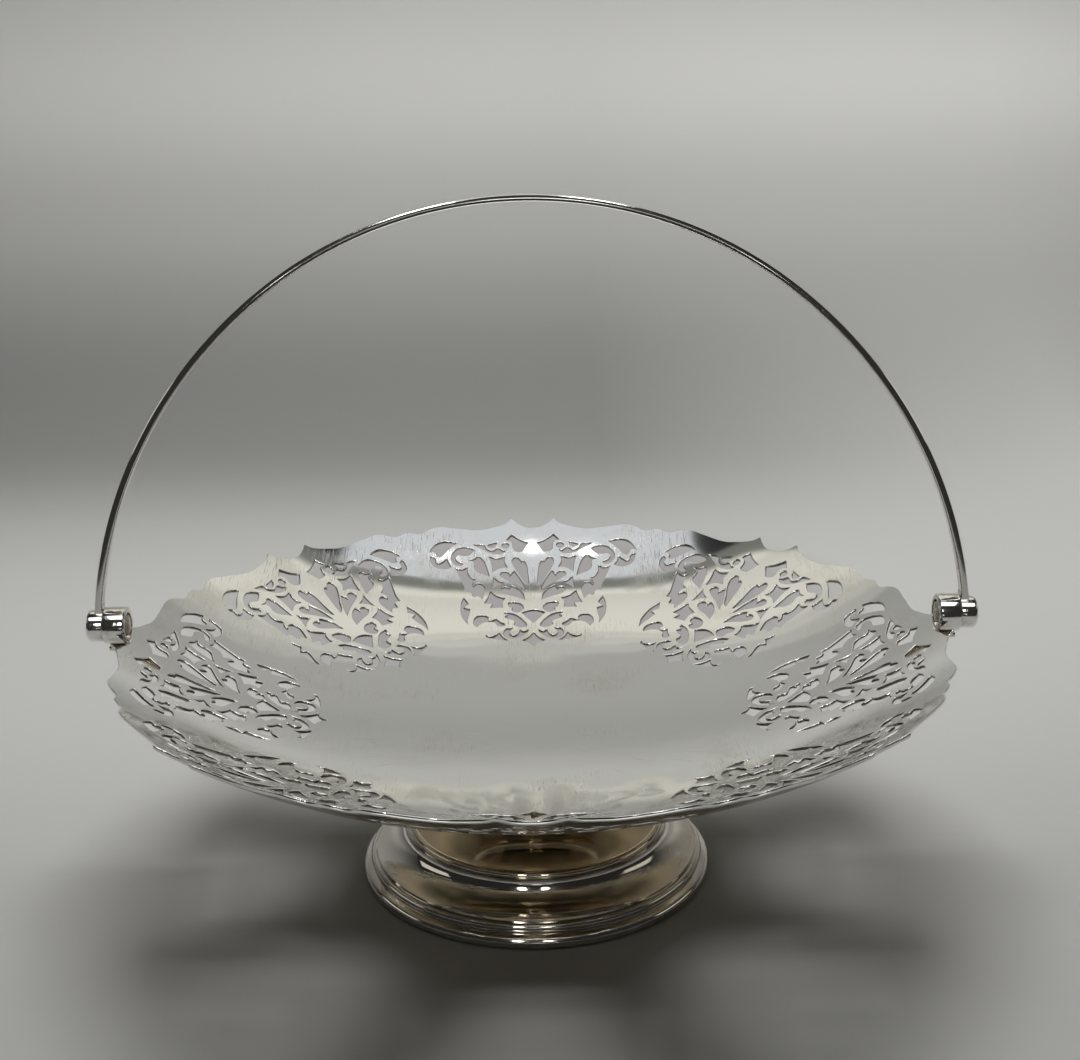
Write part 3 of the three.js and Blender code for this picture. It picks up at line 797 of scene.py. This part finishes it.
lug_profile = [
    (BORE, lug_outer),
    (BORE, lug_inner + RECESS_DEPTH),
    (RECESS_RADIUS, lug_inner + RECESS_DEPTH),
    (RECESS_RADIUS, lug_inner + RECESS_EDGE),
    (RECESS_RADIUS + RECESS_EDGE, lug_inner),
    *rounded(LUG_RADIUS - LUG_ROUND, lug_inner + LUG_ROUND, LUG_ROUND, -90, 5),
    *rounded(LUG_RADIUS - SOFT_EDGE, lug_outer - SOFT_EDGE, SOFT_EDGE, 0, 3),
]
knuckle_profile = [
    (0, knuckle_outer - CAP_THICK),
    (BORE, knuckle_outer - CAP_THICK),
    (BORE, knuckle_inner),
    *rounded(KNUCKLE_RADIUS - SOFT_EDGE, knuckle_inner + SOFT_EDGE, SOFT_EDGE, -90, 3),
    *rounded(KNUCKLE_RADIUS - KNUCKLE_ROUND, knuckle_outer - KNUCKLE_ROUND, KNUCKLE_ROUND, 0, 8),
    (0, knuckle_outer),
]
pin_profile = [
    (0, lug_inner),
    *rounded(PIN_HEAD - HEAD_ROUND, lug_inner + HEAD_ROUND, HEAD_ROUND, -90, 3),
    (PIN_HEAD, lug_inner + HEAD_THICK),
    (PIN_RADIUS, lug_inner + HEAD_THICK),
    (PIN_RADIUS, PIN_END),
    (0, PIN_END),
]
BARRELS = (
    ("lug", lug_profile, True, hinge_silver, "hinge_silver", "base", "hinge_lug"),
    ("knuckle", knuckle_profile, False, hinge_silver, "hinge_silver", "handle", "handle_knuckle"),
    ("pin", pin_profile, False, pin_silver, "pin_silver", "handle", "hinge_pin"),
)
for side, half_turn in (("right", False), ("left", True)):
    for kind, profile, closed, material, slot, body, node in BARRELS:
        barrel = laid_on_hinge(spun(profile, BARREL_STEPS, closed), half_turn)
        piece = piece_from(barrel, f"{kind}_{side}_turned", material)
        hand_over(piece, body, slot, f"{node}_{side}")

# %% [markdown]
# ## The strap under each barrel
# A barrel soldered to the thin rim alone would tear off, so a strap follows the underside of the
# wall and carries it. The strap is an outline in side view, extruded to its width, with its
# edges bevelled.

# %% Make the straps
STRAP_WIDTH, STRAP_THICK = 6.0, 1.6
STRAP_REACH = 12


def strap_outline(steps=8):
    starts = [lug_inner - STRAP_REACH + STRAP_REACH * step / steps for step in range(steps + 1)]
    upper = [under_dish(start, GAP / 3) for start in starts]
    level = HINGE_HEIGHT - LUG_RADIUS - GAP / 3
    last_x, last_z = upper[-1]
    upper += [(last_x + (level - last_z) / dish_slope(last_x), level), (lug_outer - 1, level)]
    return upper + [(x, z - STRAP_THICK) for x, z in upper[::-1]]


def strap():
    bm = bmesh.new()
    corners = [bm.verts.new((x * MM, -STRAP_WIDTH / 2 * MM, z * MM)) for x, z in strap_outline()]
    side = bm.faces.new(corners)
    grown = bmesh.ops.extrude_face_region(bm, geom=[side])["geom"]
    moved = [part for part in grown if isinstance(part, bmesh.types.BMVert)]
    bmesh.ops.translate(bm, verts=moved, vec=(0, STRAP_WIDTH * MM, 0))
    bmesh.ops.recalc_face_normals(bm, faces=bm.faces[:])
    crisp = [edge for edge in bm.edges if edge.calc_face_angle(0) > math.radians(40)]
    bmesh.ops.bevel(
        bm,
        geom=crisp,
        offset=SOFT_EDGE * MM,
        affect="EDGES",
        segments=2,
        profile=0.5,
        material=-1,
    )
    return bm


for side, half_turn in (("right", False), ("left", True)):
    bm = turned(strap(), math.pi, "Z") if half_turn else strap()
    piece = piece_from(bm, f"strap_{side}_bevelled", strap_silver)
    hand_over(piece, "base", "hinge_silver", f"lug_bracket_{side}")

# %% [markdown]
# ## The bow
# The handle is one flat strip, bent on edge: a round arch over the middle, and legs that open out
# more gently to the hinges. It is a section carried along a curve. The strip is a little wider at
# the top, where the hand takes it, and each foot flares into its barrel with a small fillet.

# %% Sweep the bow
BOW_RADIUS, BOW_THICK, BOW_ROUND = 138.8, 2.3, 0.5
BOW_WIDTH_HINGE, BOW_WIDTH_TOP = 4.2, 6.0
FOOT_INSET, FILLET_DEPTH, FILLET_HEIGHT = 0.95, 1.3, 4.5
ARCH_END = math.radians(53)
foot_x = HINGE_SPLIT + (GAP + KNUCKLE_LENGTH) / 2 - FOOT_INSET
foot_rise = KNUCKLE_RADIUS - BOW_THICK / 2
spread = foot_x - BOW_RADIUS * math.cos(ARCH_END)
drop = BOW_RADIUS * math.sin(ARCH_END) - foot_rise
leg_end = 2 * math.atan(spread / drop) - ARCH_END
leg_radius = drop / (math.sin(ARCH_END) - math.sin(leg_end))


def bow_point(share):
    angle = leg_end + (math.pi - 2 * leg_end) * share
    from_hinge = min(angle, math.pi - angle)
    radius = leg_radius if from_hinge < ARCH_END else BOW_RADIUS
    shift = BOW_RADIUS - radius
    x = shift * math.cos(ARCH_END) + radius * math.cos(from_hinge)
    z = shift * math.sin(ARCH_END) + radius * math.sin(from_hinge)
    return (x if angle < math.pi / 2 else -x), HINGE_HEIGHT + z


def bow_section():
    half_width, half_thick = BOW_WIDTH_TOP / 2 - BOW_ROUND, BOW_THICK / 2 - BOW_ROUND
    outline = []
    for side_x, side_y, start in ((1, 1, 0), (-1, 1, 90), (-1, -1, 180), (1, -1, 270)):
        corner_x, corner_y = side_x * half_thick, side_y * half_width
        outline += arc(corner_x, corner_y, BOW_ROUND, BOW_ROUND, start, start + 90, 3)
    return outline


def swept_bow(steps=220):
    bm = bmesh.new()
    outline = bow_section()
    rings = []
    for step in range(steps + 1):
        share = step / steps
        x, z = bow_point(share)
        ahead = bow_point(min(share + 1e-4, 1))
        behind = bow_point(max(share - 1e-4, 0))
        along = Vector((ahead[0] - behind[0], 0, ahead[1] - behind[1])).normalized()
        out = Vector((along.z, 0, -along.x))
        climb = max(0.0, (z - HINGE_HEIGHT) / BOW_RADIUS)
        width = (BOW_WIDTH_HINGE + (BOW_WIDTH_TOP - BOW_WIDTH_HINGE) * climb) / BOW_WIDTH_TOP
        near_foot = max(0.0, 1 - (z - HINGE_HEIGHT - foot_rise) / FILLET_HEIGHT) ** 2
        ring = []
        for thick, across in outline:
            thick -= FILLET_DEPTH * near_foot * (0.5 - thick / BOW_THICK)
            place = Vector((x, across * width, z)) + out * thick
            ring.append(bm.verts.new(place * MM))
        rings.append([bm.edges.new(pair) for pair in zip(ring, ring[1:] + ring[:1])])
    for near, far in zip(rings, rings[1:]):
        bmesh.ops.bridge_loops(bm, edges=near + far)
    for end in (rings[0], rings[-1]):
        bmesh.ops.edgeloop_fill(bm, edges=end)
    bmesh.ops.recalc_face_normals(bm, faces=bm.faces[:])
    return bm


bow = piece_from(swept_bow(), "handle_bow_swept", bow_silver, 20)
hand_over(bow, "handle", "bow_silver", "handle_bow")

# %% [markdown]
# ## The paper
# Polished silver is a picture of the room, so the room is part of the finish. A grey paper sweeps
# up from the floor to a wall. Its grey holds painted light and shade, darker round the bend and
# paler on the wall above it. It is written along the sweep as pairs of place and grey, where the
# place is the distance back plus the height, in metres. One row of pairs holds for the middle and
# the left, and the other for the right side, which is painted paler. The paper behind the dish,
# which shows only through the piercing, is painted a little darker, as a painted shade where the
# dish's shade would lie.

# %% Floor and backdrop
PAPER_START, PAPER_LENGTH = -0.4, 2.0
PAPER_BLUE = 0.97
# Painted light: the paper's grey grows paler towards the right.
PAINTED_LIGHT_RIGHT_START, PAINTED_LIGHT_RIGHT_GAIN, SHADE_GAIN = 0.05, 2.6, 1.6
# Painted shade: where the darker patch behind the dish lies, how far it reaches, and its colour.
SHADE_Y, SHADE_HALF_WIDTH, SHADE_HALF_DEPTH = 0.29, 0.19, 0.15
SHADE_COLOUR = (0.36, 0.347, 0.347, 1.0)
# Greys along the sweep with painted light and shade in them: dark round the bend, pale on the wall
# above it.
MIDDLE_GREYS_AND_PAINTED_LIGHT = (
    "-0.4:0.4 -0.22:0.46 -0.05:0.45 0.15:0.51 0.35:0.48 0.47:0.4 0.58:0.3 "
    "0.75:0.25 0.92:0.28 1.05:0.4 1.17:0.53 1.3:0.69 1.45:0.49 1.6:0.45"
)
RIGHT_GREYS_AND_PAINTED_LIGHT = (
    "-0.4:0.4 -0.22:0.44 -0.05:0.43 0.15:0.52 0.45:0.59 0.6:0.6 "
    "0.75:0.55 0.92:0.5 1.05:0.53 1.17:0.66 1.3:0.85 1.45:0.49 1.6:0.45"
)


def grey_and_painted_light_ramp(tree, along, words):
    ramp = tree.nodes.new("ShaderNodeValToRGB")
    ramp.color_ramp.interpolation = "CARDINAL"
    stops = [[float(x) for x in word.split(":")] for word in words.split()]
    while len(ramp.color_ramp.elements) < len(stops):
        ramp.color_ramp.elements.new(1.0)
    for element, (where, grey) in zip(ramp.color_ramp.elements, stops):
        element.position = (where - PAPER_START) / PAPER_LENGTH
        element.color = (grey, grey, PAPER_BLUE * grey, 1)
    tree.links.new(along, ramp.inputs["Fac"])
    return ramp.outputs["Color"]


def paper():
    material = bpy.data.materials.new("paper grey with painted light and shade")
    material.use_nodes = True
    tree = material.node_tree
    shader = tree.nodes["Principled BSDF"]
    shader.inputs["Roughness"].default_value = 0.9
    shader.inputs["Specular IOR Level"].default_value = 0.2
    place = tree.nodes.new("ShaderNodeSeparateXYZ")
    tree.links.new(tree.nodes.new("ShaderNodeTexCoord").outputs["Object"], place.inputs[0])
    along = math_node(tree, "ADD", place.outputs["Y"], place.outputs["Z"])
    along = math_node(tree, "SUBTRACT", along, PAPER_START)
    along = math_node(tree, "DIVIDE", along, PAPER_LENGTH)
    # Painted light: the right side is mixed towards the paler greys.
    painted_light_to_right = math_node(tree, "SUBTRACT", place.outputs["X"], PAINTED_LIGHT_RIGHT_START)
    painted_light_to_right = math_node(tree, "MULTIPLY", painted_light_to_right, PAINTED_LIGHT_RIGHT_GAIN, clamp=True)
    grey = tree.nodes.new("ShaderNodeMix")
    grey.data_type = "RGBA"
    tree.links.new(painted_light_to_right, grey.inputs["Factor"])
    tree.links.new(grey_and_painted_light_ramp(tree, along, MIDDLE_GREYS_AND_PAINTED_LIGHT), grey.inputs["A"])
    tree.links.new(grey_and_painted_light_ramp(tree, along, RIGHT_GREYS_AND_PAINTED_LIGHT), grey.inputs["B"])
    # Painted shade: a soft darker patch on the paper behind the dish.
    across = math_node(tree, "DIVIDE", place.outputs["X"], SHADE_HALF_WIDTH)
    across = math_node(tree, "POWER", across, 2.0)
    away = math_node(tree, "SUBTRACT", place.outputs["Y"], SHADE_Y)
    away = math_node(tree, "POWER", math_node(tree, "DIVIDE", away, SHADE_HALF_DEPTH), 2.0)
    shade = math_node(tree, "SUBTRACT", 1.0, math_node(tree, "ADD", across, away), clamp=True)
    shade = math_node(tree, "MULTIPLY", shade, SHADE_GAIN, clamp=True)
    shaded = tree.nodes.new("ShaderNodeMix")
    shaded.data_type = "RGBA"
    shaded.inputs["B"].default_value = SHADE_COLOUR
    tree.links.new(shade, shaded.inputs["Factor"])
    tree.links.new(grey.outputs["Result"], shaded.inputs["A"])
    tree.links.new(shaded.outputs["Result"], shader.inputs["Base Color"])
    return material


def sweep():
    bm = bmesh.new()
    front, back, bend, height, half = -330, 650, 350, 2150, 1900
    line = [(front, 0), *arc(back, bend, bend, bend, -90, 0, 24), (back + bend, height)]
    start = [bm.verts.new((-half * MM, y * MM, z * MM)) for y, z in line]
    edges = [bm.edges.new(pair) for pair in zip(start, start[1:])]
    grown = bmesh.ops.extrude_edge_only(bm, edges=edges)["geom"]
    moved = [part for part in grown if isinstance(part, bmesh.types.BMVert)]
    bmesh.ops.translate(bm, verts=moved, vec=(2 * half * MM, 0, 0))
    bmesh.ops.recalc_face_normals(bm, faces=bm.faces[:])
    return bm


floor = piece_from(sweep(), "floor_sweep", paper(), 80)
print("floor ready")

# %% [markdown]
# ## The lamps
# Paper and silver are lit in two ways. The paper has two soft lamps, over the floor and before the
# wall, which the silver doesn't mirror. The silver has no colour of its own, so it is lit by what
# it mirrors: a pale upper wall with a soft lower edge, a ceiling with a cooler middle, cards low in
# front and at the sides, and small far lights. Those lamps leave the paper alone, and the dark
# between them is what gives the handle, the barrels and the foot their black lines.

# %% The lamps
IVORY, WARM, COOL = (1.0, 0.97, 0.87), (1.0, 0.96, 0.88), (0.93, 0.96, 1.0)


def area_light(name, place, target, size, power, colour=(1, 1, 1), lights="silver"):
    data = bpy.data.lights.new(name, "AREA")
    data.shape = "RECTANGLE"
    data.size, data.size_y = size
    data.energy = power
    data.color = colour
    lamp = bpy.data.objects.new(name, data)
    lamp.location = place
    aim = Vector(target) - Vector(place)
    lamp.rotation_euler = aim.to_track_quat("-Z", "Y").to_euler()
    lamp.visible_camera = False
    lamp.visible_glossy = lights == "silver"
    lamp.visible_diffuse = lights == "paper"
    scene.collection.objects.link(lamp)


def lamp_facing_down(name, x, y, height, size, power, colour=(1, 1, 1), lights="silver"):
    area_light(name, (x, y, height), (x, y, 0), size, power, colour, lights)


lamp_facing_down("key over the floor", 0.01, 0.25, 1.1, (0.6, 0.5), 10, lights="paper")
area_light("wall light", (0.02, 0.1, 1.4), (0.02, 1, 1), (2.2, 0.8), 6.6, (1, 0.98, 0.93), "paper")

WALL_FOOT, WALL_STEP, WALL_TOP = 0.80, 0.08, 2.08
WALL_POWER_PER_METRE = 0.78
for step in range(4):
    low, place_y = WALL_FOOT + WALL_STEP * step, 0.95 - 0.01 * step
    middle, tall = (low + WALL_TOP) / 2, WALL_TOP - low
    place, target = (0.05, place_y, middle), (0.05, 0, middle)
    area_light("upper wall", place, target, (1.7, tall), WALL_POWER_PER_METRE * tall, IVORY)
lamp_facing_down("ceiling panel", 0.03, 0.21, 1.3, (0.76, 0.62), 1.05, COOL)
lamp_facing_down("ceiling edge", 0.03, 0.58, 1.28, (1.4, 0.16), 0.12, (0.98, 1.0, 0.92))
lamp_facing_down("front ceiling", 0, -0.5, 1.3, (1.4, 0.6), 6.0)
for x, y in ((0.17, 0.34), (0.0, 0.29), (-0.12, 0.31)):
    lamp_facing_down("ceiling spot", x, y, 1.29, (0.03, 0.03), 0.018)

area_light("low front card", (0, -0.8, -0.37), (0, 0, -0.37), (1.6, 0.28), 2.8, WARM)
FLOOR_WHITE = (1.0, 0.97, 0.9)
place, target = (0, -0.29, 0.004), (0, -0.29, 1)
area_light("pale floor in front", place, target, (0.24, 0.15), 0.075, FLOOR_WHITE)
for name, x in (("left strip", -1.3), ("right side strip", 1.3)):
    area_light(name, (x, 0.15, 0.5), (0, 0.15, 0.5), (0.8, 0.3), 0.6, WARM)
area_light("doorway", (0.01, -1.5, 0.14), (0.01, 0, 0.14), (0.18, 0.06), 0.07)
area_light("wall behind the viewer", (0, -1.55, 0.14), (0, 0, 0.14), (0.62, 0.12), 0.09)
for x in (-0.35, 0.3):
    area_light("far lamp", (x, -1.5, 0.05), (x, 0, 0.05), (0.05, 0.06), 0.026)
for name, x, width, power in (
    ("left window", -0.33, 0.16, 3),
    ("right strip", 0.15, 0.05, 0.8),
    ("far right strip", 0.235, 0.03, 0.5),
):
    area_light(name, (x, -1.5, 0.86), (0, 0, 0.05), (width, 0.4), power)
print("lamps:", len(bpy.data.lights))

# %% [markdown]
# ## The world
# The world is nearly dark, so that it doesn't fill the dark lines in the silver. Where the camera
# itself looks past the paper, it sees a plain pale grey instead.

# %% Set the world
world = bpy.data.worlds.new("room")
world.use_nodes = True
tree = world.node_tree
dim, pale = tree.nodes["Background"], tree.nodes.new("ShaderNodeBackground")
dim.inputs["Color"].default_value = (0.5, 0.5, 0.5, 1)
dim.inputs["Strength"].default_value = 0.05
pale.inputs["Color"].default_value = (0.42, 0.42, 0.41, 1)
chosen = tree.nodes.new("ShaderNodeMixShader")
tree.links.new(tree.nodes.new("ShaderNodeLightPath").outputs["Is Camera Ray"], chosen.inputs["Fac"])
tree.links.new(dim.outputs["Background"], chosen.inputs[1])
tree.links.new(pale.outputs["Background"], chosen.inputs[2])
tree.links.new(chosen.outputs["Shader"], tree.nodes["World Output"].inputs["Surface"])
scene.world = world
print("world:", world.name)

# %% [markdown]
# ## The camera
# The photograph was taken from just above the rim, close by. Its place was found by matching the
# rim, the foot and the handle, with the picture turned by less than a degree.

# %% Set the camera
ELEVATION, ROLL = math.radians(15.78), math.radians(0.94)
DISTANCE = 494.1
AIM = Vector((3.2, 0, 120.7))
data = bpy.data.cameras.new("photograph")
data.sensor_fit = "HORIZONTAL"
data.sensor_width = 36
data.lens = 49.7
camera = bpy.data.objects.new("photograph", data)
back = Vector((0, -math.cos(ELEVATION), math.sin(ELEVATION)))
turn = Matrix.Rotation(math.pi / 2 - ELEVATION, 4, "X") @ Matrix.Rotation(-ROLL, 4, "Z")
camera.matrix_world = Matrix.Translation((AIM + back * DISTANCE) * MM) @ turn
scene.collection.objects.link(camera)
scene.camera = camera
scene.view_settings.view_transform = "Standard"
print("camera, mm:", [round(x / MM, 1) for x in camera.location])
